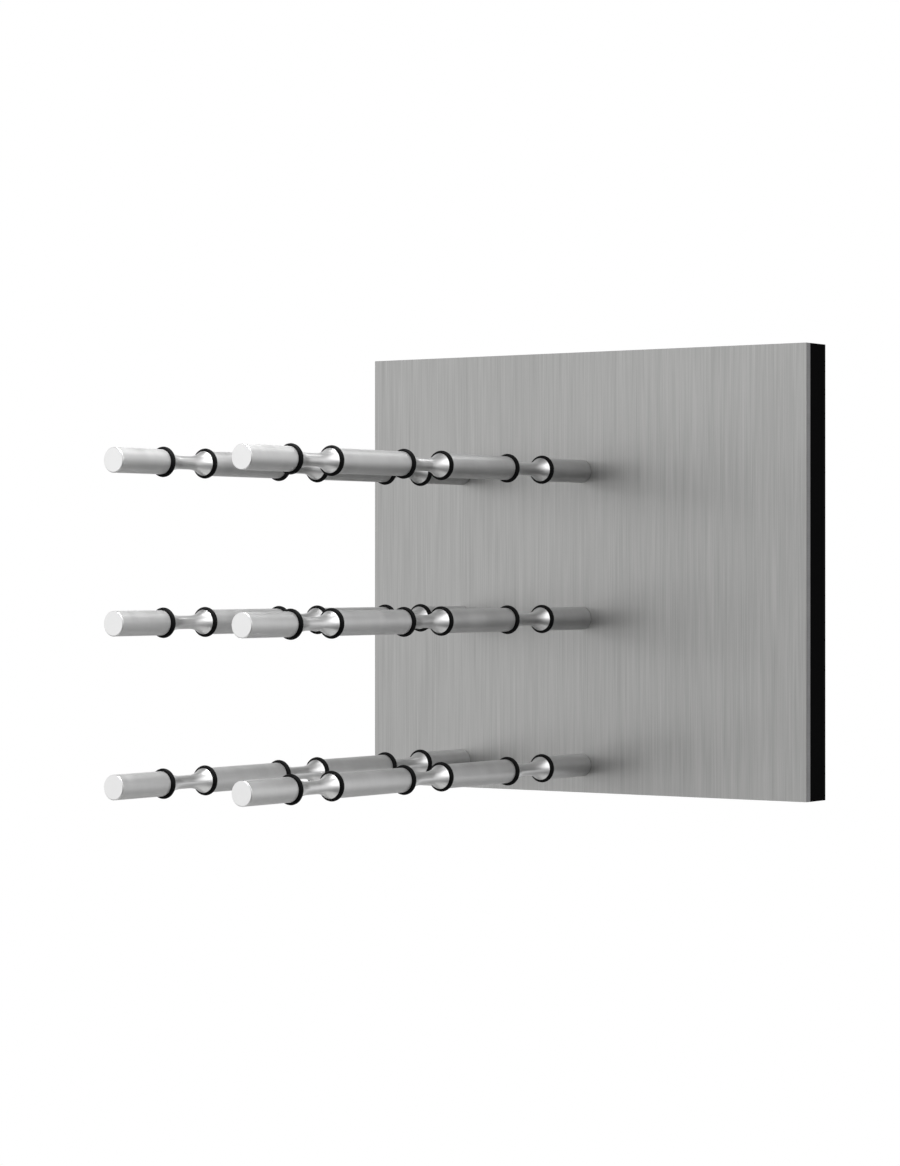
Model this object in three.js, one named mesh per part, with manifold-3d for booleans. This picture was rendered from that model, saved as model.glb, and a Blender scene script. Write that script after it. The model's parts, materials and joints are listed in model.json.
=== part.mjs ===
// A wall-hung peg rack for wine bottles: a metal-faced panel with six long aluminium pegs.
//
// Each bottle lies across two pegs of one row, in a pair of turned saddles, and rests on black O-rings.
// Every peg is pulled on to the face from behind by a cap screw and a washer.
// The panel hangs on a two-part bevelled cleat, and lifts up off the half that is screwed to the wall.
//
// Millimetres. +Z is up, the wall is the plane Y = 0 and the room is on the -Y side.
// The origin is the middle of the wall cleat's back face. "out" is a distance from the wall into the room.

import * as THREE from 'three';
import { mergeVertices } from 'three/addons/utils/BufferGeometryUtils.js';
import Module from 'manifold-3d';

const INCH = 25.4;
const SEAM = 0.2; // glue film or hairline gap between two pieces that touch
const OVERSHOOT = 1; // how far a cutter runs past the face that it opens

// Panel: a metal face sheet bonded to a thicker core board
const PANEL_WIDTH = 14 * INCH;
const PANEL_HEIGHT = 12 * INCH;
const PANEL_DEPTH = 1 * INCH;
const SHEET_THICKNESS = 5;
const CORE_THICKNESS = PANEL_DEPTH - SHEET_THICKNESS - SEAM;

// Peg layout on the face
const COLUMN_SPACING = 4 * INCH; // the right-hand column is on the panel's centre line
const ROW_SPACING = 4 * INCH;
const BOTTOM_ROW_ABOVE_EDGE = 0.75 * INCH;

// Pegs, measured out from the face
const PEG_DIAMETER = 0.625 * INCH;
const PEG_LENGTH = 376.5;
const PEG_TIP_CHAMFER = 0.4;
const SADDLE_COUNT = 3;
const FIRST_SADDLE_OUT = 70.5;
const SADDLE_SPACING = 118.5;
const SADDLE_WAIST_DIAMETER = 8.5;
const SADDLE_FLARE_RADIUS = 30; // of the concave curve from the waist out to each end of the saddle
const SADDLE_FLARE_STEPS = 3;
const PEG_SIDES = 16;

// O-rings, one in a groove at each end of every saddle
const RING_SPREAD = 41.7; // between the two rings of one saddle
const RING_CORD = 3.5;
const RING_CENTRE_RADIUS = 7.93;
const RING_CORD_SIDES = 6;
const GROOVE_WIDTH = 3.9;
const GROOVE_ROOT_RADIUS = 6;

// Peg screws: M6 socket cap screws in counterbores in the back of the core board
const SCREW_SHANK_RADIUS = 3;
const SCREW_LENGTH = 35; // under the head
const SCREW_HEAD_RADIUS = 5;
const SCREW_HEAD_HEIGHT = 6;
const SCREW_CHAMFER = 0.5;
const SCREW_KEY_FLATS = 5;
const SCREW_KEY_DEPTH = 3;
const SCREW_CLEARANCE = 0.3; // radial, in the holes that it passes through
const PEG_BORE_RADIUS = 3.2;
const PEG_BORE_DEPTH = 23;
const COUNTERBORE_RADIUS = 8;
const COUNTERBORE_DEPTH = 12;
const WASHER_OUTER_RADIUS = 6;
const WASHER_INNER_RADIUS = 3.25;
const WASHER_THICKNESS = 1.6;

// Cleat: two aluminium strips whose 45 degree edges hook together in a pocket in the core board
const CLEAT_LENGTH = 240;
const CLEAT_THICKNESS = 6;
const CLEAT_STANDOFF = 0.4; // the panel half stays this far off the wall
const WALL_CLEAT_HEIGHT = 22; // at its back face
const PANEL_CLEAT_HEIGHT = 21; // at its back face
const CLEAT_BELOW_PANEL_TOP = 42.4; // from the panel's top edge down to the middle of the wall cleat
const CLEAT_TRAVEL = 13; // room in the pocket below the wall cleat, for lifting the panel off
const POCKET_SIDE_ROOM = 5;
const WALL_HOLE_SPACING = 160;
const WALL_HOLE_RADIUS = 2.6;
const WALL_HOLE_COUNTERSINK_RADIUS = 5;

// Cleat screws: flat-head wood screws that hold the panel half in its pocket
const CLEAT_SCREW_SPACING = 180;
const CLEAT_SCREW_BELOW_TOP = 8.5;
const CLEAT_SCREW_LENGTH = 16;
const CLEAT_SCREW_HEAD_RADIUS = 4.2;
const CLEAT_SCREW_SHANK_RADIUS = 2;
const CLEAT_SCREW_TIP_LENGTH = 2.5;
const CLEAT_SCREW_CLEARANCE = 0.25;
const CLEAT_SCREW_KEY_FLATS = 2.5;
const CLEAT_SCREW_KEY_DEPTH = 1.6;

const SMALL_SIDES = 16; // facets around screws, washers and holes

// Places worked out from the sizes above
const PANEL_TOP = CLEAT_BELOW_PANEL_TOP;
const PANEL_BOTTOM = PANEL_TOP - PANEL_HEIGHT;
const FACE_OUT = PANEL_DEPTH;
const PEG_BASE_OUT = FACE_OUT + SEAM;
const COLUMNS = { left: -COLUMN_SPACING, right: 0 };
const BOTTOM_ROW = PANEL_BOTTOM + BOTTOM_ROW_ABOVE_EDGE;
const ROWS = { top: BOTTOM_ROW + 2 * ROW_SPACING, middle: BOTTOM_ROW + ROW_SPACING, bottom: BOTTOM_ROW };
const WASHER_OUT = COUNTERBORE_DEPTH - SEAM - WASHER_THICKNESS;
const HEAD_UNDERSIDE_OUT = WASHER_OUT - SEAM;
const POCKET_DEPTH = CLEAT_THICKNESS + CLEAT_STANDOFF + SEAM;
const WALL_CLEAT_BOTTOM = -WALL_CLEAT_HEIGHT / 2;
const WALL_CLEAT_TOP = WALL_CLEAT_HEIGHT / 2;
const BEVEL_SEAM = SEAM * Math.SQRT2; // measured upwards, for a gap of one seam square to the bevels
const PANEL_CLEAT_TOP = WALL_CLEAT_TOP + CLEAT_STANDOFF + BEVEL_SEAM + PANEL_CLEAT_HEIGHT;
const POCKET_BOTTOM = WALL_CLEAT_BOTTOM - CLEAT_TRAVEL;
const POCKET_TOP = PANEL_CLEAT_TOP + SEAM;
const CLEAT_SCREW_Z = PANEL_CLEAT_TOP - CLEAT_SCREW_BELOW_TOP;

// Materials: each one is a function, so that every mesh gets its own

const material = (color, roughness, metalness) =>
  new THREE.MeshStandardMaterial({ color, roughness, metalness });
const brushedAluminium = () => material(0xb9bcc0, 0.42, 1);
const satinAluminium = () => material(0xcfd0d2, 0.36, 1);
const blackCoreBoard = () => material(0x0c0c0d, 0.75, 0);
const blackRubber = () => material(0x17171a, 0.62, 0);
const zincSteel = () => material(0xa9abb0, 0.38, 1);
const millAluminium = () => material(0xc2c4c6, 0.5, 1);

// Solids: cutting one geometry with others

const wasm = await Module();
wasm.setup();

function toSolid(geometry) {
  const bare = geometry.clone();
  bare.deleteAttribute('normal');
  bare.deleteAttribute('uv');
  const merged = mergeVertices(bare, 1e-3);
  return new wasm.Manifold(new wasm.Mesh({
    numProp: 3,
    vertProperties: merged.attributes.position.array,
    triVerts: new Uint32Array(merged.index.array),
  }));
}

function cut(body, cutters) {
  const solid = cutters.reduce((left, cutter) => left.subtract(toSolid(cutter)), toSolid(body));
  const mesh = solid.getMesh();
  const geometry = new THREE.BufferGeometry();
  geometry.setAttribute('position', new THREE.BufferAttribute(mesh.vertProperties, 3));
  geometry.setIndex(new THREE.BufferAttribute(mesh.triVerts, 1));
  const flat = geometry.toNonIndexed();
  flat.computeVertexNormals();
  return flat;
}

// Geometry helpers, all in the rack's own frame

// A piece turned about a line along Y. The profile lists [radius, out] from the wall end to the room end.
function turned(profile, sides = SMALL_SIDES) {
  const points = profile.map(([radius, out]) => new THREE.Vector2(radius, -out));
  return new THREE.LatheGeometry(points.reverse(), sides);
}

// A block between two distances out from the wall.
function block([xLow, xHigh], [outLow, outHigh], [zLow, zHigh]) {
  const geometry = new THREE.BoxGeometry(xHigh - xLow, outHigh - outLow, zHigh - zLow);
  return geometry.translate((xLow + xHigh) / 2, -(outLow + outHigh) / 2, (zLow + zHigh) / 2);
}

function drill(radius, outLow, outHigh, x = 0, z = 0) {
  const geometry = turned([[0, outLow], [radius, outLow], [radius, outHigh], [0, outHigh]]);
  return geometry.translate(x, 0, z);
}

// A countersink that opens towards the wall: full radius at outLow, the hole's radius one cone further out.
function countersink(headRadius, holeRadius, outLow, x, z) {
  const slope = headRadius - holeRadius;
  const wide = headRadius + OVERSHOOT;
  const profile = [[0, outLow - OVERSHOOT], [wide, outLow - OVERSHOOT], [holeRadius, outLow + slope],
    [0, outLow + slope]];
  return turned(profile).translate(x, 0, z);
}

function hexRecess(flats, outLow, depth) {
  const corner = flats / Math.sqrt(3);
  const geometry = new THREE.CylinderGeometry(corner, corner, depth + OVERSHOOT, 6);
  return geometry.translate(0, -(outLow + (depth - OVERSHOOT) / 2), 0);
}

// A strip along X from an outline of [out, z] corners, given anticlockwise when seen from the +X end.
function strip(outline, length) {
  const shape = new THREE.Shape(outline.map(([out, z]) => new THREE.Vector2(-out, z)));
  const geometry = new THREE.ExtrudeGeometry(shape, { depth: length, bevelEnabled: false });
  const toRack = new THREE.Matrix4().makeBasis(
    new THREE.Vector3(0, 1, 0), new THREE.Vector3(0, 0, 1), new THREE.Vector3(1, 0, 0));
  return geometry.translate(0, 0, -length / 2).applyMatrix4(toRack);
}

function pegPlaces() {
  return Object.entries(ROWS).flatMap(([row, z]) =>
    Object.entries(COLUMNS).map(([column, x]) => ({ name: `${row}_${column}`, x, z })));
}

const bothSides = (spacing) => [-spacing / 2, spacing / 2];

// Panel

function faceSheet() {
  const backOut = FACE_OUT - SHEET_THICKNESS;
  const holes = pegPlaces().map(({ x, z }) => drill(
    SCREW_SHANK_RADIUS + SCREW_CLEARANCE, backOut - OVERSHOOT, FACE_OUT + OVERSHOOT, x, z));
  const halfWidth = PANEL_WIDTH / 2;
  return cut(block([-halfWidth, halfWidth], [backOut, FACE_OUT], [PANEL_BOTTOM, PANEL_TOP]), holes);
}

function coreBoard() {
  const halfWidth = PANEL_WIDTH / 2;
  const halfPocket = CLEAT_LENGTH / 2 + POCKET_SIDE_ROOM;
  const screwHoles = pegPlaces().flatMap(({ x, z }) => [
    drill(SCREW_SHANK_RADIUS + SCREW_CLEARANCE, -OVERSHOOT, CORE_THICKNESS + OVERSHOOT, x, z),
    drill(COUNTERBORE_RADIUS, -OVERSHOOT, COUNTERBORE_DEPTH, x, z),
  ]);
  const pocket = block([-halfPocket, halfPocket], [-OVERSHOOT, POCKET_DEPTH], [POCKET_BOTTOM, POCKET_TOP]);
  const pilotEnd = CLEAT_STANDOFF + CLEAT_SCREW_LENGTH + OVERSHOOT;
  const pilots = bothSides(CLEAT_SCREW_SPACING).map((x) => drill(
    CLEAT_SCREW_SHANK_RADIUS + CLEAT_SCREW_CLEARANCE, POCKET_DEPTH - OVERSHOOT, pilotEnd, x, CLEAT_SCREW_Z));
  return cut(
    block([-halfWidth, halfWidth], [0, CORE_THICKNESS], [PANEL_BOTTOM, PANEL_TOP]),
    [...screwHoles, pocket, ...pilots]);
}

// Pegs and their O-rings

// Distances out from the face to the six O-rings, two for each saddle.
function ringPlaces() {
  return Array.from({ length: SADDLE_COUNT }, (_, i) => FIRST_SADDLE_OUT + i * SADDLE_SPACING)
    .flatMap((middle) => [middle - RING_SPREAD / 2, middle + RING_SPREAD / 2]);
}

// The inner points of a saddle: a concave flare down to the straight waist, and another one up from it.
function saddle(fromOut, toOut) {
  const waist = SADDLE_WAIST_DIAMETER / 2;
  const rise = PEG_DIAMETER / 2 - waist;
  const steepest = Math.acos(1 - rise / SADDLE_FLARE_RADIUS);
  const flareLength = SADDLE_FLARE_RADIUS * Math.sin(steepest);
  const flare = Array.from({ length: SADDLE_FLARE_STEPS }, (_, i) => {
    const slope = (steepest * i) / SADDLE_FLARE_STEPS;
    return {
      radius: waist + SADDLE_FLARE_RADIUS * (1 - Math.cos(slope)),
      fromEdge: flareLength - SADDLE_FLARE_RADIUS * Math.sin(slope),
    };
  });
  return [
    ...flare.toReversed().map(({ radius, fromEdge }) => [radius, fromOut + fromEdge]),
    ...flare.map(({ radius, fromEdge }) => [radius, toOut - fromEdge]),
  ];
}

function peg() {
  const radius = PEG_DIAMETER / 2;
  const tip = FACE_OUT + PEG_LENGTH;
  const boreEnd = PEG_BASE_OUT + PEG_BORE_DEPTH;
  const profile = [
    [0, boreEnd], [PEG_BORE_RADIUS, boreEnd], [PEG_BORE_RADIUS, PEG_BASE_OUT], [radius, PEG_BASE_OUT]];
  const rings = ringPlaces().map((place) => FACE_OUT + place);
  rings.forEach((out, index) => {
    const near = out - GROOVE_WIDTH / 2;
    const far = out + GROOVE_WIDTH / 2;
    profile.push([radius, near], [GROOVE_ROOT_RADIUS, near], [GROOVE_ROOT_RADIUS, far], [radius, far]);
    const opensSaddle = index % 2 === 0;
    if (opensSaddle) profile.push(...saddle(far, rings[index + 1] - GROOVE_WIDTH / 2));
  });
  profile.push([radius, tip - PEG_TIP_CHAMFER], [radius - PEG_TIP_CHAMFER, tip], [0, tip]);
  return turned(profile, PEG_SIDES);
}

function oRing(place) {
  const section = Array.from({ length: RING_CORD_SIDES + 1 }, (_, i) => {
    const turn = (2 * Math.PI * (i % RING_CORD_SIDES)) / RING_CORD_SIDES;
    return [
      RING_CENTRE_RADIUS + (RING_CORD / 2) * Math.cos(turn),
      FACE_OUT + place + (RING_CORD / 2) * Math.sin(turn)];
  });
  return turned(section, PEG_SIDES);
}

// Peg fasteners

function pegScrew() {
  const headTop = HEAD_UNDERSIDE_OUT - SCREW_HEAD_HEIGHT;
  const tip = HEAD_UNDERSIDE_OUT + SCREW_LENGTH;
  const screw = turned([
    [0, headTop],
    [SCREW_HEAD_RADIUS - SCREW_CHAMFER, headTop],
    [SCREW_HEAD_RADIUS, headTop + SCREW_CHAMFER],
    [SCREW_HEAD_RADIUS, HEAD_UNDERSIDE_OUT],
    [SCREW_SHANK_RADIUS, HEAD_UNDERSIDE_OUT],
    [SCREW_SHANK_RADIUS, tip - SCREW_CHAMFER],
    [SCREW_SHANK_RADIUS - SCREW_CHAMFER, tip],
    [0, tip],
  ]);
  return cut(screw, [hexRecess(SCREW_KEY_FLATS, headTop, SCREW_KEY_DEPTH)]);
}

function washer() {
  const outer = WASHER_OUT + WASHER_THICKNESS;
  return turned([
    [WASHER_INNER_RADIUS, WASHER_OUT],
    [WASHER_OUTER_RADIUS, WASHER_OUT],
    [WASHER_OUTER_RADIUS, outer],
    [WASHER_INNER_RADIUS, outer],
    [WASHER_INNER_RADIUS, WASHER_OUT],
  ]);
}

// Cleat

function wallCleat() {
  const outline = [
    [0, WALL_CLEAT_TOP],
    [CLEAT_THICKNESS, WALL_CLEAT_TOP + CLEAT_THICKNESS],
    [CLEAT_THICKNESS, WALL_CLEAT_BOTTOM],
    [0, WALL_CLEAT_BOTTOM],
  ];
  const holes = bothSides(WALL_HOLE_SPACING).flatMap((x) => [
    drill(WALL_HOLE_RADIUS, -OVERSHOOT, CLEAT_THICKNESS + OVERSHOOT, x),
    // the wall screws' heads sink into the room side, so this cone is turned round
    countersink(WALL_HOLE_COUNTERSINK_RADIUS, WALL_HOLE_RADIUS, 0, 0, 0)
      .rotateX(Math.PI)
      .translate(x, -CLEAT_THICKNESS, 0),
  ]);
  return cut(strip(outline, CLEAT_LENGTH), holes);
}

function panelCleat() {
  const back = CLEAT_STANDOFF;
  const front = CLEAT_STANDOFF + CLEAT_THICKNESS;
  const bevelAt = (out) => WALL_CLEAT_TOP + out + BEVEL_SEAM;
  const outline = [
    [back, bevelAt(back)], [back, PANEL_CLEAT_TOP], [front, PANEL_CLEAT_TOP], [front, bevelAt(front)]];
  const holeRadius = CLEAT_SCREW_SHANK_RADIUS + CLEAT_SCREW_CLEARANCE;
  const headRadius = CLEAT_SCREW_HEAD_RADIUS + CLEAT_SCREW_CLEARANCE;
  const holes = bothSides(CLEAT_SCREW_SPACING).flatMap((x) => [
    drill(holeRadius, back - OVERSHOOT, front + OVERSHOOT, x, CLEAT_SCREW_Z),
    countersink(headRadius, holeRadius, back, x, CLEAT_SCREW_Z),
  ]);
  return cut(strip(outline, CLEAT_LENGTH), holes);
}

function cleatScrew() {
  const headTop = CLEAT_STANDOFF;
  const coneEnd = headTop + CLEAT_SCREW_HEAD_RADIUS - CLEAT_SCREW_SHANK_RADIUS;
  const tip = headTop + CLEAT_SCREW_LENGTH;
  const screw = turned([
    [0, headTop],
    [CLEAT_SCREW_HEAD_RADIUS, headTop],
    [CLEAT_SCREW_SHANK_RADIUS, coneEnd],
    [CLEAT_SCREW_SHANK_RADIUS, tip - CLEAT_SCREW_TIP_LENGTH],
    [0, tip],
  ]);
  return cut(screw, [hexRecess(CLEAT_SCREW_KEY_FLATS, headTop, CLEAT_SCREW_KEY_DEPTH)]);
}

// Assembly

function mesh(name, geometry, meshMaterial) {
  const piece = new THREE.Mesh(geometry, meshMaterial);
  piece.name = name;
  return piece;
}

function pegAssembly({ name, x, z }) {
  const group = new THREE.Group();
  group.position.set(x, 0, z);
  group.add(mesh(`peg_${name}`, peg(), satinAluminium()));
  ringPlaces().forEach((place, index) => {
    group.add(mesh(`oring_${name}_${index + 1}`, oRing(place), blackRubber()));
  });
  group.add(mesh(`peg_washer_${name}`, washer(), zincSteel()));
  group.add(mesh(`peg_screw_${name}`, pegScrew(), zincSteel()));
  return group;
}

function cleatScrews() {
  const group = new THREE.Group();
  const [left, right] = bothSides(CLEAT_SCREW_SPACING);
  for (const [side, x] of Object.entries({ left, right })) {
    const screw = mesh(`cleat_screw_${side}`, cleatScrew(), zincSteel());
    screw.position.set(x, 0, CLEAT_SCREW_Z);
    group.add(screw);
  }
  return group;
}

const panel = new THREE.Group();
panel.add(mesh('face_sheet', faceSheet(), brushedAluminium()));
panel.add(mesh('core_board', coreBoard(), blackCoreBoard()));
panel.add(mesh('panel_cleat', panelCleat(), millAluminium()));
panel.add(cleatScrews());
pegPlaces().forEach((place) => panel.add(pegAssembly(place)));

const rack = new THREE.Group();
rack.add(panel);
rack.add(mesh('wall_cleat', wallCleat(), millAluminium()));

export default rack;
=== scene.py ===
"""A wall-hung peg rack for wine bottles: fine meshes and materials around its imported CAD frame.

Everything is in metres in the frame's own axes: the wall is the plane Y = 0 and the room is on the -Y side.
"out" is a distance from the wall into the room.
"""

import json
import math

import bmesh
import bpy
from mathutils import Matrix, Vector


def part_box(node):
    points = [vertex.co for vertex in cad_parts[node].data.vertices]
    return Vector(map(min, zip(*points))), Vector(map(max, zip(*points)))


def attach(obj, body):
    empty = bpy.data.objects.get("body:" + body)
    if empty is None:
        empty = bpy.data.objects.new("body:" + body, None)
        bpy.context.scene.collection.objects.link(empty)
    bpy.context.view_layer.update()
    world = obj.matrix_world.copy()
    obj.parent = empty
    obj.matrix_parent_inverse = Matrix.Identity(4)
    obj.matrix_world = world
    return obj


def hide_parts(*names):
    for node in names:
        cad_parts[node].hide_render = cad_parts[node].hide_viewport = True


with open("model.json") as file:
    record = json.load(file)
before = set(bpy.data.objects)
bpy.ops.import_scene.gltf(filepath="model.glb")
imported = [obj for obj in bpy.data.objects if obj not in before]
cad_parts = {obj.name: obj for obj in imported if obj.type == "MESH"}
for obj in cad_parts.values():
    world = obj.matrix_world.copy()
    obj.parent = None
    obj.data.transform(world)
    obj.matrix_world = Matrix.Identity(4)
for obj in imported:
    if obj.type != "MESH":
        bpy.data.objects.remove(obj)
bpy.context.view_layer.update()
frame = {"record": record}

MM = 0.001

# Lengths closer than this count as the same.
TINY = 1e-6

# ---------------------------------------------------------------- places and sizes from the frame

SHEET_LOW, SHEET_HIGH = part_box("face_sheet")
CORE_LOW, CORE_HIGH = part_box("core_board")
PANEL_MIDDLE = (SHEET_LOW + SHEET_HIGH) / 2
FACE_OUT = -SHEET_LOW.y
ROWS = ("top", "middle", "bottom")
SIDES = ("left", "right")
PEGS = [f"{row}_{side}" for row in ROWS for side in SIDES]
RINGS_PER_PEG = 6


def middle_of(node):
    low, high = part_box(node)
    return (low + high) / 2


def out_range(node):
    """How far out from the wall a node starts and ends."""
    low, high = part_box(node)
    return -high.y, -low.y


# ---------------------------------------------------------------- camera

CAMERA_AZIMUTH = math.radians(35.154)
CAMERA_DISTANCE = 2.4388
CAMERA_AIM = Vector((-0.1114, -FACE_OUT, PANEL_MIDDLE.z + 0.0013))
CAMERA_LENS = 105.85
CAMERA_SENSOR = 36
CAMERA_SHIFT_Y = -0.01078


def add_camera():
    data = bpy.data.cameras.new("camera")
    data.lens = CAMERA_LENS
    data.sensor_width = CAMERA_SENSOR
    data.shift_y = CAMERA_SHIFT_Y
    camera = bpy.data.objects.new("camera", data)
    away = Vector((math.sin(CAMERA_AZIMUTH), -math.cos(CAMERA_AZIMUTH), 0))
    camera.location = CAMERA_AIM + CAMERA_DISTANCE * away
    camera.rotation_euler = (math.radians(90), 0, CAMERA_AZIMUTH)
    bpy.context.scene.collection.objects.link(camera)
    bpy.context.scene.camera = camera


add_camera()

# ---------------------------------------------------------------- materials

# A noise texture's values lie mostly between these two.
NOISE_LOW = 0.3
NOISE_HIGH = 0.7


class Shader:
    """A new material and short calls that add nodes to it. Coordinates are the piece's own, in metres."""

    def __init__(self, name, **sockets):
        self.material = bpy.data.materials.new(name)
        self.material.use_nodes = True
        self.tree = self.material.node_tree
        self.surface = self.tree.nodes["Principled BSDF"]
        for socket, value in sockets.items():
            self.surface.inputs[socket.replace("_", " ")].default_value = value
        self.place = self.add("ShaderNodeTexCoord").outputs["Object"]

    def add(self, kind, **settings):
        node = self.tree.nodes.new(kind)
        for key, value in settings.items():
            setattr(node, key, value)
        return node

    def link(self, source, target):
        self.tree.links.new(source, target)

    def noise(self, size, detail=3, stretch=(1, 1, 1)):
        """Noise with features of about that size, drawn out along each axis by that factor."""
        mapping = self.add("ShaderNodeMapping")
        mapping.inputs["Scale"].default_value = [1 / (size * s) for s in stretch]
        self.link(self.place, mapping.inputs["Vector"])
        texture = self.add("ShaderNodeTexNoise")
        texture.inputs["Scale"].default_value = 1
        texture.inputs["Detail"].default_value = detail
        self.link(mapping.outputs["Vector"], texture.inputs["Vector"])
        return texture.outputs["Fac"]

    def spread(self, value, low, high):
        """Noise values spread over low to high."""
        node = self.add("ShaderNodeMapRange")
        node.inputs["From Min"].default_value = NOISE_LOW
        node.inputs["From Max"].default_value = NOISE_HIGH
        node.inputs["To Min"].default_value = low
        node.inputs["To Max"].default_value = high
        self.link(value, node.inputs["Value"])
        return node.outputs["Result"]

    def math(self, operation, a, b):
        node = self.add("ShaderNodeMath", operation=operation)
        for socket, value in zip(node.inputs, (a, b)):
            if isinstance(value, (int, float)):
                socket.default_value = value
            else:
                self.link(value, socket)
        return node.outputs["Value"]

    def weighted(self, *pairs):
        """The weighted sum of several values."""
        total = 0
        for value, weight in pairs:
            total = self.math("ADD", self.math("MULTIPLY", value, weight), total)
        return total

    def colour(self, factor, low, high):
        """Base colour between two colours, by a factor from 0 to 1."""
        node = self.add("ShaderNodeMix", data_type="RGBA")
        self.link(factor, node.inputs["Factor"])
        first, second = [socket for socket in node.inputs if socket.type == "RGBA"]
        first.default_value = (*low, 1)
        second.default_value = (*high, 1)
        result = next(socket for socket in node.outputs if socket.type == "RGBA")
        self.link(result, self.surface.inputs["Base Color"])

    def roughness(self, value):
        self.link(value, self.surface.inputs["Roughness"])

    def bump(self, height, depth):
        """Relief of that depth in metres, for a height from 0 to 1."""
        node = self.add("ShaderNodeBump")
        node.inputs["Strength"].default_value = 1
        node.inputs["Distance"].default_value = depth
        self.link(height, node.inputs["Height"])
        self.link(node.outputs["Normal"], self.surface.inputs["Normal"])


def brushed_face():
    """Metal sheet with an upright brushed grain: fine scratches, and broader streaks."""
    s = Shader("brushed_face", Metallic=1, Anisotropic=0.35)
    hairs = s.noise(0.4 * MM, 2, (1, 1, 130))
    scratches = s.noise(1.2 * MM, 3, (1, 1, 60))
    streaks = s.noise(6 * MM, 2, (1, 1, 20))
    clouds = s.noise(70 * MM, 2)
    tone = s.weighted((hairs, 0.3), (scratches, 0.4), (streaks, 0.25), (clouds, 0.05))
    s.colour(s.spread(tone, 0, 1), (0.33, 0.33, 0.326), (0.52, 0.52, 0.514))
    s.roughness(s.spread(s.weighted((scratches, 0.6), (streaks, 0.4)), 0.32, 0.44))
    s.bump(s.weighted((hairs, 0.7), (scratches, 0.3)), 0.004 * MM)
    return s.material


def cut_edge_and_shade():
    """The sheet's sawn edge, with fine marks square to the face. Its darker colour is painted shade on the
    sheet's sides.
    """
    s = Shader("cut_edge_and_shade", Metallic=1)
    marks = s.noise(0.5 * MM, 3, (1, 12, 1))
    clouds = s.noise(14 * MM, 2)
    tone = s.weighted((marks, 0.6), (clouds, 0.4))
    s.colour(s.spread(tone, 0, 1), (0.18, 0.18, 0.185), (0.27, 0.27, 0.275))
    s.roughness(s.spread(marks, 0.34, 0.5))
    s.bump(marks, 0.01 * MM)
    return s.material


def black_paint():
    """Matte black paint on the board's sawn sides: a faint orange peel, and a little dust."""
    s = Shader("black_paint", Specular_IOR_Level=0.015)
    peel = s.noise(0.9 * MM, 3)
    dust = s.noise(11 * MM, 4)
    s.colour(s.spread(dust, 0, 1), (0.0008, 0.0008, 0.0009), (0.0022, 0.0022, 0.0023))
    s.roughness(s.spread(s.weighted((peel, 0.5), (dust, 0.5)), 0.6, 0.8))
    s.bump(peel, 0.03 * MM)
    return s.material


def black_board():
    """The board's bare back, dyed black: short pressed fibres, and patches rubbed a shade lighter."""
    s = Shader("black_board", Specular_IOR_Level=0.25)
    fibres = s.noise(1.1 * MM, 4, (3, 3, 1))
    grain = s.noise(0.4 * MM, 3)
    rubbed = s.noise(45 * MM, 4)
    tone = s.weighted((fibres, 0.35), (grain, 0.25), (rubbed, 0.4))
    s.colour(s.spread(tone, 0, 1), (0.004, 0.004, 0.0042), (0.026, 0.026, 0.0263))
    s.roughness(s.spread(s.weighted((grain, 0.5), (rubbed, 0.5)), 0.55, 0.8))
    s.bump(s.weighted((fibres, 0.6), (grain, 0.4)), 0.05 * MM)
    return s.material


def satin_aluminium(name, dark, light, smooth, rough):
    """Turned and anodised aluminium: faint tool rings along the peg, and cloudy satin. The dark and light
    colours of each copy also paint how lit or shaded its part of the peg looks.
    """
    s = Shader(name, Metallic=1)
    rings = s.noise(0.22 * MM, 2, (60, 1, 60))
    bands = s.noise(5 * MM, 2, (8, 1, 8))
    clouds = s.noise(16 * MM, 3)
    tone = s.weighted((rings, 0.3), (bands, 0.3), (clouds, 0.4))
    s.colour(s.spread(tone, 0, 1), (dark, dark, dark), (light, light, light))
    s.roughness(s.spread(s.weighted((clouds, 0.6), (bands, 0.4)), smooth, rough))
    s.bump(rings, 0.002 * MM)
    return s.material


def black_rubber():
    """Moulded black rubber with a dry bloom."""
    s = Shader("black_rubber", Specular_IOR_Level=0.07)
    skin = s.noise(0.25 * MM, 3)
    bloom = s.noise(2.5 * MM, 3)
    s.colour(s.spread(bloom, 0, 1), (0.003, 0.003, 0.0033), (0.008, 0.008, 0.0085))
    s.roughness(s.spread(s.weighted((skin, 0.5), (bloom, 0.5)), 0.48, 0.68))
    s.bump(skin, 0.015 * MM)
    return s.material


def zinc_steel():
    """Zinc-plated steel, slightly mottled."""
    s = Shader("zinc_steel", Metallic=1)
    grain = s.noise(0.4 * MM, 3)
    mottle = s.noise(3 * MM, 3)
    s.colour(s.spread(mottle, 0, 1), (0.55, 0.56, 0.58), (0.68, 0.68, 0.67))
    s.roughness(s.spread(s.weighted((grain, 0.5), (mottle, 0.5)), 0.28, 0.46))
    s.bump(grain, 0.006 * MM)
    return s.material


def mill_aluminium():
    """Extruded aluminium: die lines along the strip."""
    s = Shader("mill_aluminium", Metallic=1)
    lines = s.noise(0.3 * MM, 3, (300, 1, 1))
    handling = s.noise(18 * MM, 4)
    tone = s.weighted((lines, 0.5), (handling, 0.5))
    s.colour(s.spread(tone, 0, 1), (0.62, 0.63, 0.64), (0.78, 0.78, 0.78))
    s.roughness(s.spread(s.weighted((lines, 0.6), (handling, 0.4)), 0.3, 0.5))
    s.bump(lines, 0.006 * MM)
    return s.material


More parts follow.
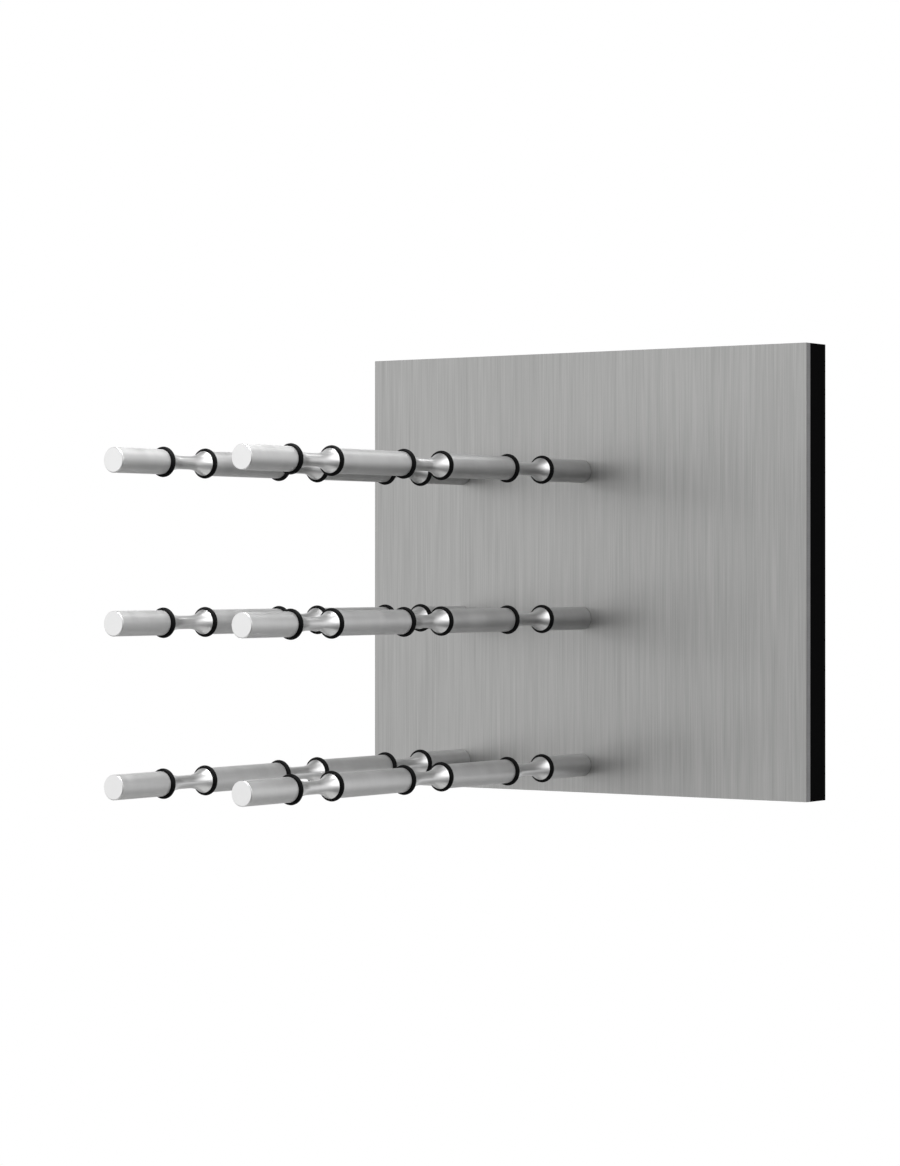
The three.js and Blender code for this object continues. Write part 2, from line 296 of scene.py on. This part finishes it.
def pale_floor(fade_from, fade_to):
    """Matte white, which thins out to nothing between two distances from the floor's middle."""
    s = Shader("pale_floor", Roughness=0.9)
    clouds = s.noise(400 * MM, 2)
    s.colour(s.spread(clouds, 0, 1), (0.80, 0.80, 0.79), (0.83, 0.83, 0.82))
    distance = s.add("ShaderNodeVectorMath", operation="LENGTH")
    s.link(s.place, distance.inputs[0])
    fade = s.add("ShaderNodeMapRange", interpolation_type="SMOOTHSTEP")
    for socket, value in (("From Min", fade_from), ("From Max", fade_to), ("To Min", 1), ("To Max", 0)):
        fade.inputs[socket].default_value = value
    s.link(distance.outputs["Value"], fade.inputs["Value"])
    s.link(fade.outputs["Result"], s.surface.inputs["Alpha"])
    return s.material


# ---------------------------------------------------------------- mesh helpers

# Edges that turn by less than this are shaded as one surface.
SMOOTH_UNDER = math.radians(32)

# Softened corners: how much of a line beside it a curve may take, and how far along that line the point past
# the curve lies, in reaches of the curve and at most as a share of the line.
CORNER_SHARE = 0.3
HOLD_REACH = 2
HOLD_SHARE = 0.48

# Carved bodies: edges that turn by more than this are broken, with this many faces, and the large faces' own
# normals win at full weight.
BREAK_OVER = math.radians(40)
BREAK_SEGMENTS = 2
NORMAL_WEIGHT = 100


def new_piece(name, mesh, node, slot, *materials):
    """A finished piece: it stands for a CAD node and rides on that node's body."""
    for material in materials:
        mesh.materials.append(material)
    piece = bpy.data.objects.new(name, mesh)
    bpy.context.scene.collection.objects.link(piece)
    body = next(b for b, members in frame["record"]["behaviour"]["bodies"].items() if node in members)
    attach(piece, body)
    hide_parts(node)


def mesh_from(bm, name):
    bmesh.ops.recalc_face_normals(bm, faces=bm.faces)
    mesh = bpy.data.meshes.new(name)
    bm.to_mesh(mesh)
    bm.free()
    for polygon in mesh.polygons:
        polygon.use_smooth = True
    mesh.set_sharp_from_angle(angle=SMOOTH_UNDER)
    return mesh


def softened(profile, size, steps=3):
    """A profile with each corner sharper than SMOOTH_UNDER turned into a small curve.

    A point a little way past each end of the curve keeps the shading of the stretch beyond it straight.
    """
    points = [Vector(p) for p in profile]
    closed = (points[0] - points[-1]).length < TINY
    made = []
    for i, corner in enumerate(points):
        at_end = i in (0, len(points) - 1)
        if at_end and not closed:
            made.append(corner)
            continue
        before = points[i - 1] if i else points[-2]
        after = points[i + 1] if i + 1 < len(points) else points[1]
        back, on = before - corner, after - corner
        if math.pi - back.angle(on) < SMOOTH_UNDER:
            made.append(corner)
            continue
        reach = min(size, CORNER_SHARE * back.length, CORNER_SHARE * on.length)
        start, end = corner + back.normalized() * reach, corner + on.normalized() * reach
        made.append(corner + back.normalized() * min(HOLD_REACH * reach, HOLD_SHARE * back.length))
        for k in range(steps + 1):
            t = k / steps
            made.append(start * (1 - t) ** 2 + corner * 2 * t * (1 - t) + end * t ** 2)
        made.append(corner + on.normalized() * min(HOLD_REACH * reach, HOLD_SHARE * on.length))
    return made


def turned(profile, x, z, sides, ripple=None):
    """A bmesh turned about the line along Y at x, z, from [radius, out] points.

    ripple(radius, out, k) may change the radius of the k-th of the sides, as a knurl does.
    """
    bm = bmesh.new()
    rows = []
    closed = (Vector(profile[0]) - Vector(profile[-1])).length < TINY
    for radius, out in profile[:-1] if closed else profile:
        if radius < TINY:
            rows.append([bm.verts.new((x, -out, z))] * sides)
            continue
        row = []
        for k in range(sides):
            angle = 2 * math.pi * k / sides
            r = ripple(radius, out, k) if ripple else radius
            row.append(bm.verts.new((x + r * math.cos(angle), -out, z + r * math.sin(angle))))
        rows.append(row)
    pairs = list(zip(rows, rows[1:]))
    if closed:
        pairs.append((rows[-1], rows[0]))
    for low, high in pairs:
        for k in range(sides):
            j = (k + 1) % sides
            corners = list(dict.fromkeys((low[k], low[j], high[j], high[k])))
            if len(corners) > 2:
                bm.faces.new(corners)
    return bm


def block(low, high):
    bm = bmesh.new()
    size = high - low
    centre = (low + high) / 2
    bmesh.ops.create_cube(bm, size=1, matrix=Matrix.Translation(centre) @ Matrix.Diagonal((*size, 1)))
    return bm


def prism(outline, x_low, x_high):
    """A strip along X from an outline of (out, z) corners."""
    bm = bmesh.new()
    ends = [[bm.verts.new((x, -out, z)) for out, z in outline] for x in (x_low, x_high)]
    for end in ends:
        bm.faces.new(end)
    count = len(outline)
    for k in range(count):
        j = (k + 1) % count
        bm.faces.new((ends[0][k], ends[0][j], ends[1][j], ends[1][k]))
    return bm


def hexagon(flats, x, z, out_low, out_high):
    corner = flats / math.sqrt(3)
    return turned([(0, out_low), (corner, out_low), (corner, out_high), (0, out_high)], x, z, 6)


def carved(bm, cutters, edge, name):
    """A body with cutters taken away and each sharp edge broken by a bevel of that width."""
    collection = bpy.context.scene.collection
    body = bpy.data.objects.new("body", mesh_from(bm, "body"))
    collection.objects.link(body)
    tools = []
    for cutter in cutters:
        tool = bpy.data.objects.new("tool", mesh_from(cutter, "tool"))
        collection.objects.link(tool)
        tools.append(tool)
        cut = body.modifiers.new("cut", "BOOLEAN")
        cut.object = tool
        cut.solver = "EXACT"
    bevel = body.modifiers.new("broken_edges", "BEVEL")
    bevel.width = edge
    bevel.segments = BREAK_SEGMENTS
    bevel.limit_method = "ANGLE"
    bevel.angle_limit = BREAK_OVER
    shading = body.modifiers.new("flat_faces_stay_flat", "WEIGHTED_NORMAL")
    shading.weight = NORMAL_WEIGHT
    shading.keep_sharp = True
    evaluated = body.evaluated_get(bpy.context.evaluated_depsgraph_get())
    mesh = bpy.data.meshes.new_from_object(evaluated)
    mesh.name = name
    for spare in (body, *tools):
        old = spare.data
        bpy.data.objects.remove(spare)
        bpy.data.meshes.remove(old)
    return mesh


# ---------------------------------------------------------------- panel

PANEL_EDGE = 0.25 * MM
HOLE_SIDES = 48
PEG_HOLE_RADIUS = 3.3 * MM
COUNTERBORE_RADIUS = 8 * MM
COUNTERBORE_DEPTH = 12 * MM

# The cleat's pocket, and its room beside and below the wall half and over the panel half.
POCKET_DEPTH = 6.6 * MM
POCKET_SIDE_ROOM = 5 * MM
POCKET_TRAVEL = 13 * MM
SEAM = 0.2 * MM

# The cleat screws' pilot holes: PILOT_END is their far end's distance from the wall.
PILOT_RADIUS = 2.25 * MM
PILOT_END = 17.4 * MM

# How far a cutter reaches past the surface that it opens.
PAST = 1 * MM

# A face of the sheet is brushed where its normal is at least this much along Y.
BRUSHED_NORMAL = 0.5


def hole(radius, out_low, out_high, x, z):
    return turned([(0, out_low), (radius, out_low), (radius, out_high), (0, out_high)], x, z, HOLE_SIDES)


def face_sheet(face, edge):
    """The sheet. Its front and back are brushed and its four sides are sawn, their metal painted darker as
    shade.
    """
    low, high = out_range("face_sheet")
    places = [middle_of(f"peg_{peg}") for peg in PEGS]
    holes = [hole(PEG_HOLE_RADIUS, low - PAST, high + PAST, p.x, p.z) for p in places]
    mesh = carved(block(SHEET_LOW, SHEET_HIGH), holes, PANEL_EDGE, "face_sheet_fine")
    new_piece("face_sheet_fine", mesh, "face_sheet", "brushed_face", face, edge)
    for polygon in mesh.polygons:
        polygon.material_index = 0 if abs(polygon.normal.y) > BRUSHED_NORMAL else 1


def core_board(board, paint):
    """The board behind the sheet: counterbored for the peg screws, with a pocket for the cleat."""
    places = [middle_of(f"peg_{peg}") for peg in PEGS]
    low, high = out_range("core_board")
    cutters = []
    for p in places:
        cutters.append(hole(PEG_HOLE_RADIUS, low - PAST, high + PAST, p.x, p.z))
        cutters.append(hole(COUNTERBORE_RADIUS, low - PAST, COUNTERBORE_DEPTH, p.x, p.z))
    wall_low, wall_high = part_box("wall_cleat")
    _, panel_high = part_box("panel_cleat")
    pocket_low = Vector((wall_low.x - POCKET_SIDE_ROOM, -POCKET_DEPTH, wall_low.z - POCKET_TRAVEL))
    pocket_high = Vector((wall_high.x + POCKET_SIDE_ROOM, PAST, panel_high.z + SEAM))
    cutters.append(block(pocket_low, pocket_high))
    for side in SIDES:
        p = middle_of(f"cleat_screw_{side}")
        cutters.append(hole(PILOT_RADIUS, POCKET_DEPTH - PAST, PILOT_END, p.x, p.z))
    mesh = carved(block(CORE_LOW, CORE_HIGH), cutters, PANEL_EDGE, "core_board_fine")
    new_piece("core_board_fine", mesh, "core_board", "black_core", board, paint)
    inset = Vector((PANEL_EDGE,) * 3)
    inside_low, inside_high = CORE_LOW + inset, CORE_HIGH - inset
    for polygon in mesh.polygons:
        place = polygon.center
        on_side = not (inside_low.x < place.x < inside_high.x and inside_low.z < place.z < inside_high.z)
        polygon.material_index = 1 if on_side else 0


# ---------------------------------------------------------------- pegs and O-rings

PEG_SIDES = 72
PEG_TIP_CHAMFER = 0.4 * MM
PEG_BORE_RADIUS = 3.2 * MM
PEG_BORE_DEPTH = 23 * MM
GROOVE_WIDTH = 3.9 * MM
GROOVE_ROOT_RADIUS = 6 * MM
TURNED_EDGE = 0.15 * MM
SADDLE_WAIST_RADIUS = 4.25 * MM
SADDLE_FLARE_RADIUS = 30 * MM
SADDLE_FLARE_STEPS = 10

# A peg's surface that lies deeper than this counts as saddle.
SADDLE_RIM = 0.1 * MM

RING_SIDES = 64
RING_CORD_SIDES = 18
RING_CORD_RADIUS = 1.75 * MM
RING_CENTRE_RADIUS = 7.93 * MM


def ring_places(name):
    """How far out the middle of each of a peg's O-rings is."""
    return [-middle_of(f"oring_{name}_{k + 1}").y for k in range(RINGS_PER_PEG)]


def saddle(low, high, radius):
    """Inner points of a saddle: a concave flare down to the straight waist, and another one up from it."""
    steepest = math.acos(1 - (radius - SADDLE_WAIST_RADIUS) / SADDLE_FLARE_RADIUS)
    flare_length = SADDLE_FLARE_RADIUS * math.sin(steepest)
    flare = []
    for k in range(SADDLE_FLARE_STEPS):
        slope = steepest * k / SADDLE_FLARE_STEPS
        rise = SADDLE_FLARE_RADIUS * (1 - math.cos(slope))
        flare.append((SADDLE_WAIST_RADIUS + rise, flare_length - SADDLE_FLARE_RADIUS * math.sin(slope)))
    down = [(r, low + from_edge) for r, from_edge in reversed(flare)]
    up = [(r, high - from_edge) for r, from_edge in flare]
    return down + up


def peg(name, side_metal, saddle_metal, end_metal):
    """A turned peg with one copy of its metal on its straight stretches, one in its saddles and one on its
    outer end. The copies differ in roughness as real finishes, and in colour as painted light: the outer end
    is painted lightest and the straight stretches darkest.

    The grooves under the O-rings and the hidden bore are as the saddles.
    """
    low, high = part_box(f"peg_{name}")
    centre = (low + high) / 2
    radius = (high.x - low.x) / 2
    base, tip = -high.y, -low.y
    bore_end = base + PEG_BORE_DEPTH
    profile = [(0, bore_end), (PEG_BORE_RADIUS, bore_end), (PEG_BORE_RADIUS, base), (radius, base)]
    places = ring_places(name)
    for index, out in enumerate(places):
        near, far = out - GROOVE_WIDTH / 2, out + GROOVE_WIDTH / 2
        profile += [(radius, near), (GROOVE_ROOT_RADIUS, near), (GROOVE_ROOT_RADIUS, far), (radius, far)]
        if index % 2 == 0:
            profile += saddle(far, places[index + 1] - GROOVE_WIDTH / 2, radius)
    profile += [(radius, tip - PEG_TIP_CHAMFER), (radius - PEG_TIP_CHAMFER, tip), (0, tip)]
    shape = turned(softened(profile, TURNED_EDGE), centre.x, centre.z, PEG_SIDES)
    mesh = mesh_from(shape, f"peg_{name}_fine")
    metals = (side_metal, saddle_metal, end_metal)
    new_piece(f"peg_{name}_fine", mesh, f"peg_{name}", "satin_aluminium", *metals)
    for polygon in mesh.polygons:
        place = polygon.center
        from_axis = math.hypot(place.x - centre.x, place.z - centre.z)
        if -place.y > tip - PEG_TIP_CHAMFER:
            polygon.material_index = metals.index(end_metal)
        elif from_axis < radius - SADDLE_RIM:
            polygon.material_index = metals.index(saddle_metal)


def o_ring(name, index, rubber):
    node = f"oring_{name}_{index + 1}"
    centre = middle_of(node)
    section = []
    for k in range(RING_CORD_SIDES + 1):
        turn = 2 * math.pi * (k % RING_CORD_SIDES) / RING_CORD_SIDES
        section.append((
            RING_CENTRE_RADIUS + RING_CORD_RADIUS * math.cos(turn),
            -centre.y + RING_CORD_RADIUS * math.sin(turn)))
    mesh = mesh_from(turned(section, centre.x, centre.z, RING_SIDES), f"{node}_fine")
    new_piece(f"{node}_fine", mesh, node, "black_rubber", rubber)


# ---------------------------------------------------------------- fasteners

SCREW_SIDES = 72
SHANK_RADIUS = 3 * MM
SCREW_HEAD_HEIGHT = 6 * MM
SCREW_CHAMFER = 0.5 * MM
KNURL_DEPTH = 0.15 * MM
KEY_FLATS = 5 * MM
KEY_DEPTH = 3 * MM
KEY_EDGE = 0.1 * MM
WASHER_INNER_RADIUS = 3.25 * MM
WASHER_EDGE = 0.2 * MM
CLEAT_HEAD_RADIUS = 4.2 * MM
CLEAT_SHANK_RADIUS = 2 * MM
CLEAT_TIP_LENGTH = 2.5 * MM
CLEAT_KEY_FLATS = 2.5 * MM
CLEAT_KEY_DEPTH = 1.6 * MM
CLEAT_KEY_EDGE = 0.08 * MM


def peg_screw(name, steel):
    """A cap screw with a knurled head and a hexagon key. Its head is nearest to the wall."""
    node = f"peg_screw_{name}"
    low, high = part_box(node)
    centre = (low + high) / 2
    head_radius = (high.x - low.x) / 2
    top, tip = -high.y, -low.y
    under = top + SCREW_HEAD_HEIGHT

    def knurl(radius, out, k):
        on_side = head_radius - radius < TINY and top + SCREW_CHAMFER - TINY <= out <= under + TINY
        return radius - KNURL_DEPTH if on_side and k % 2 else radius

    side_rows = [(head_radius, top + SCREW_CHAMFER), (head_radius, under)]
    shank = [(SHANK_RADIUS, under), (SHANK_RADIUS, tip - SCREW_CHAMFER), (SHANK_RADIUS - SCREW_CHAMFER, tip)]
    profile = [(0, top), (head_radius - SCREW_CHAMFER, top), *side_rows, *shank, (0, tip)]
    body = turned(profile, centre.x, centre.z, SCREW_SIDES, knurl)
    key = hexagon(KEY_FLATS, centre.x, centre.z, top - PAST, top + KEY_DEPTH)
    mesh = carved(body, [key], KEY_EDGE, f"{node}_fine")
    new_piece(f"{node}_fine", mesh, node, "zinc_steel", steel)


def peg_washer(name, steel):
    node = f"peg_washer_{name}"
    low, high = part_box(node)
    centre = (low + high) / 2
    near, far = -high.y, -low.y
    outer = (high.x - low.x) / 2
    inner = WASHER_INNER_RADIUS
    profile = [(inner, near), (outer, near), (outer, far), (inner, far), (inner, near)]
    mesh = mesh_from(turned(softened(profile, WASHER_EDGE), centre.x, centre.z, SCREW_SIDES), f"{node}_fine")
    new_piece(f"{node}_fine", mesh, node, "zinc_steel", steel)


def cleat_screw(side, steel):
    """A countersunk screw with a hexagon key and a point."""
    node = f"cleat_screw_{side}"
    low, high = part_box(node)
    centre = (low + high) / 2
    top, tip = -high.y, -low.y
    cone_end = top + CLEAT_HEAD_RADIUS - CLEAT_SHANK_RADIUS
    profile = [
        (0, top), (CLEAT_HEAD_RADIUS, top), (CLEAT_SHANK_RADIUS, cone_end),
        (CLEAT_SHANK_RADIUS, tip - CLEAT_TIP_LENGTH), (0, tip)]
    key = hexagon(CLEAT_KEY_FLATS, centre.x, centre.z, top - PAST, top + CLEAT_KEY_DEPTH)
    mesh = carved(turned(profile, centre.x, centre.z, SCREW_SIDES), [key], CLEAT_KEY_EDGE, f"{node}_fine")
    new_piece(f"{node}_fine", mesh, node, "zinc_steel", steel)


# ---------------------------------------------------------------- cleat

CLEAT_EDGE = 0.3 * MM
CLEAT_HOLE_CLEARANCE = 0.25 * MM
WALL_HOLE_SPACING = 160 * MM
WALL_HOLE_RADIUS = 2.6 * MM
WALL_SINK_RADIUS = 5 * MM


def wall_cleat(metal):
    """The wall half: its top edge slopes up, away from the wall, and its holes are level with the origin."""
    low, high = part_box("wall_cleat")
    back, front = -high.y, -low.y
    thickness = front - back
    outline = [(back, high.z - thickness), (front, high.z), (front, low.z), (back, low.z)]
    sink_end = front - (WALL_SINK_RADIUS - WALL_HOLE_RADIUS)
    cutters = []
    for x in (-WALL_HOLE_SPACING / 2, WALL_HOLE_SPACING / 2):
        cutters.append(hole(WALL_HOLE_RADIUS, back - PAST, front + PAST, x, 0))
        rim = (WALL_SINK_RADIUS + PAST, front + PAST)
        cone = [(0, sink_end), (WALL_HOLE_RADIUS, sink_end), rim, (0, front + PAST)]
        cutters.append(turned(cone, x, 0, HOLE_SIDES))
    mesh = carved(prism(outline, low.x, high.x), cutters, CLEAT_EDGE, "wall_cleat_fine")
    new_piece("wall_cleat_fine", mesh, "wall_cleat", "mill_aluminium", metal)


def panel_cleat(metal):
    """The panel half: its bottom edge hooks behind the wall half."""
    low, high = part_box("panel_cleat")
    back, front = -high.y, -low.y
    thickness = front - back
    outline = [(back, low.z), (back, high.z), (front, high.z), (front, low.z + thickness)]
    hole_radius = CLEAT_SHANK_RADIUS + CLEAT_HOLE_CLEARANCE
    sink_radius = CLEAT_HEAD_RADIUS + CLEAT_HOLE_CLEARANCE
    sink_end = back + sink_radius - hole_radius
    cutters = []
    for side in SIDES:
        p = middle_of(f"cleat_screw_{side}")
        cutters.append(hole(hole_radius, back - PAST, front + PAST, p.x, p.z))
        cone = [(0, back - PAST), (sink_radius + PAST, back - PAST), (hole_radius, sink_end), (0, sink_end)]
        cutters.append(turned(cone, p.x, p.z, HOLE_SIDES))
    mesh = carved(prism(outline, low.x, high.x), cutters, CLEAT_EDGE, "panel_cleat_fine")
    new_piece("panel_cleat_fine", mesh, "panel_cleat", "mill_aluminium", metal)


# ---------------------------------------------------------------- the rack

steel = zinc_steel()
cleat_metal = mill_aluminium()
# The pegs' three copies of aluminium: their roughness is real finish, but their colours are painted light
# and shade, darker on the straight stretches and lighter in the saddles and on the outer ends.
peg_side_painted_darker = satin_aluminium("satin_aluminium", 0.64, 0.72, 0.42, 0.52)
peg_saddle_painted_lighter = satin_aluminium("turned_aluminium_painted_lighter", 0.77, 0.85, 0.3, 0.38)
peg_end_painted_lightest = satin_aluminium("faced_aluminium_painted_lightest", 0.84, 0.9, 0.33, 0.41)
rubber = black_rubber()
face_sheet(brushed_face(), cut_edge_and_shade())
core_board(black_board(), black_paint())
for peg_name in PEGS:
    peg(peg_name, peg_side_painted_darker, peg_saddle_painted_lighter, peg_end_painted_lightest)
    for ring in range(RINGS_PER_PEG):
        o_ring(peg_name, ring, rubber)
    peg_washer(peg_name, steel)
    peg_screw(peg_name, steel)
wall_cleat(cleat_metal)
panel_cleat(cleat_metal)
for side in SIDES:
    cleat_screw(side, steel)

# ---------------------------------------------------------------- floor and light

FLOOR_BELOW_PANEL = 0.7
FLOOR_MIDDLE_Y = -0.2
FLOOR_RADIUS = 0.9
FLOOR_SOLID_RADIUS = 0.55 * FLOOR_RADIUS
FLOOR_SIDES = 96

# Brightness of the room towards the rack's back and front, and what is left of it straight down and up.
ROOM_BACK = 0.85
ROOM_FRONT = 0.24
BACKDROP_FOOT = 0.05
BACKDROP_HEAD = 0.15

# Between which values of a direction's Y or Z each of these changes: front to back, foot to eye level and
# eye level to head.
FRONT_TO_BACK = (-0.3, 0.6)
FOOT_TO_LEVEL = (-1, 0.1)
LEVEL_TO_HEAD = (0, 1)

# Soft walls of light: the direction towards each, the cosine where its light begins, and how much it adds.
SOFT_WALLS = (
    ((-0.62, -0.7, 0.35), 0.4, 0.85),
    ((0.3, 0.2, 0.9), 0.75, 0.25),
    ((0.82, -0.1, 0.5), 0.75, 1.5),
)

# Round lamps: name, place, the point each is aimed at, its size, its power and its spread in degrees.
SOFTBOXES = (
    ("key", (-1.3, -1.7, 1.3), PANEL_MIDDLE, 1.2, 1.2, 180),
    ("tips", (0.03, -0.43, 0.46), (-0.05, -0.43, 0), 0.25, 1.05, 70),
    ("back", (0, 0.56, 0.54), (-0.05, -0.55, -0.14), 0.3, 0.01, 22),
)


def add_floor():
    bm = bmesh.new()
    bmesh.ops.create_circle(bm, cap_ends=True, radius=FLOOR_RADIUS, segments=FLOOR_SIDES)
    mesh = bpy.data.meshes.new("floor")
    bm.to_mesh(mesh)
    bm.free()
    mesh.materials.append(pale_floor(FLOOR_SOLID_RADIUS, FLOOR_RADIUS))
    floor = bpy.data.objects.new("floor", mesh)
    floor.location = (0, FLOOR_MIDDLE_Y, CORE_LOW.z - FLOOR_BELOW_PANEL)
    bpy.context.scene.collection.objects.link(floor)


def add_softbox(name, location, aim, size, power, spread):
    data = bpy.data.lights.new(name, "AREA")
    data.shape = "DISK"
    data.size = size
    data.energy = power
    data.spread = math.radians(spread)
    light = bpy.data.objects.new(name, data)
    light.location = location
    light.rotation_euler = (Vector(aim) - Vector(location)).to_track_quat("-Z", "Y").to_euler()
    bpy.context.scene.collection.objects.link(light)


def add_world():
    """A studio: a backdrop that is brightest at eye level, a dim front, and soft walls of light.

    Where the camera sees it, it is plain white.
    """
    world = bpy.data.worlds.new("studio")
    bpy.context.scene.world = world
    world.use_nodes = True
    tree = world.node_tree
    tree.nodes.clear()
    direction = tree.nodes.new("ShaderNodeTexCoord").outputs["Generated"]
    split = tree.nodes.new("ShaderNodeSeparateXYZ")
    tree.links.new(direction, split.inputs["Vector"])

    def ranged(value, *bounds):
        """A value eased from one range to another: the bounds are from low, from high, to low, to high."""
        node = tree.nodes.new("ShaderNodeMapRange")
        node.interpolation_type = "SMOOTHSTEP"
        for socket, bound in zip(node.inputs[1:5], bounds):
            socket.default_value = bound
        tree.links.new(value, node.inputs["Value"])
        return node.outputs["Result"]

    def combined(operation, first, second):
        node = tree.nodes.new("ShaderNodeMath")
        node.operation = operation
        tree.links.new(first, node.inputs[0])
        tree.links.new(second, node.inputs[1])
        return node.outputs["Value"]

    below = ranged(split.outputs["Z"], *FOOT_TO_LEVEL, BACKDROP_FOOT, 1)
    above = ranged(split.outputs["Z"], *LEVEL_TO_HEAD, 1, BACKDROP_HEAD)
    depth = ranged(split.outputs["Y"], *FRONT_TO_BACK, ROOM_FRONT, ROOM_BACK)
    level = combined("MULTIPLY", combined("MULTIPLY", below, above), depth)
    for towards, from_cosine, gain in SOFT_WALLS:
        facing = tree.nodes.new("ShaderNodeVectorMath")
        facing.operation = "DOT_PRODUCT"
        facing.inputs[1].default_value = Vector(towards).normalized()
        tree.links.new(direction, facing.inputs[0])
        level = combined("ADD", level, ranged(facing.outputs["Value"], from_cosine, 1, 0, gain))
    room = tree.nodes.new("ShaderNodeBackground")
    room.inputs["Color"].default_value = (1, 1, 1, 1)
    tree.links.new(level, room.inputs["Strength"])
    backdrop = tree.nodes.new("ShaderNodeBackground")
    backdrop.inputs["Color"].default_value = (1, 1, 1, 1)
    path = tree.nodes.new("ShaderNodeLightPath")
    mix = tree.nodes.new("ShaderNodeMixShader")
    tree.links.new(path.outputs["Is Camera Ray"], mix.inputs["Fac"])
    tree.links.new(room.outputs["Background"], mix.inputs[1])
    tree.links.new(backdrop.outputs["Background"], mix.inputs[2])
    output = tree.nodes.new("ShaderNodeOutputWorld")
    tree.links.new(mix.outputs["Shader"], output.inputs["Surface"])


add_floor()
for softbox in SOFTBOXES:
    add_softbox(*softbox)
add_world()
bpy.context.scene.view_settings.view_transform = "Standard"
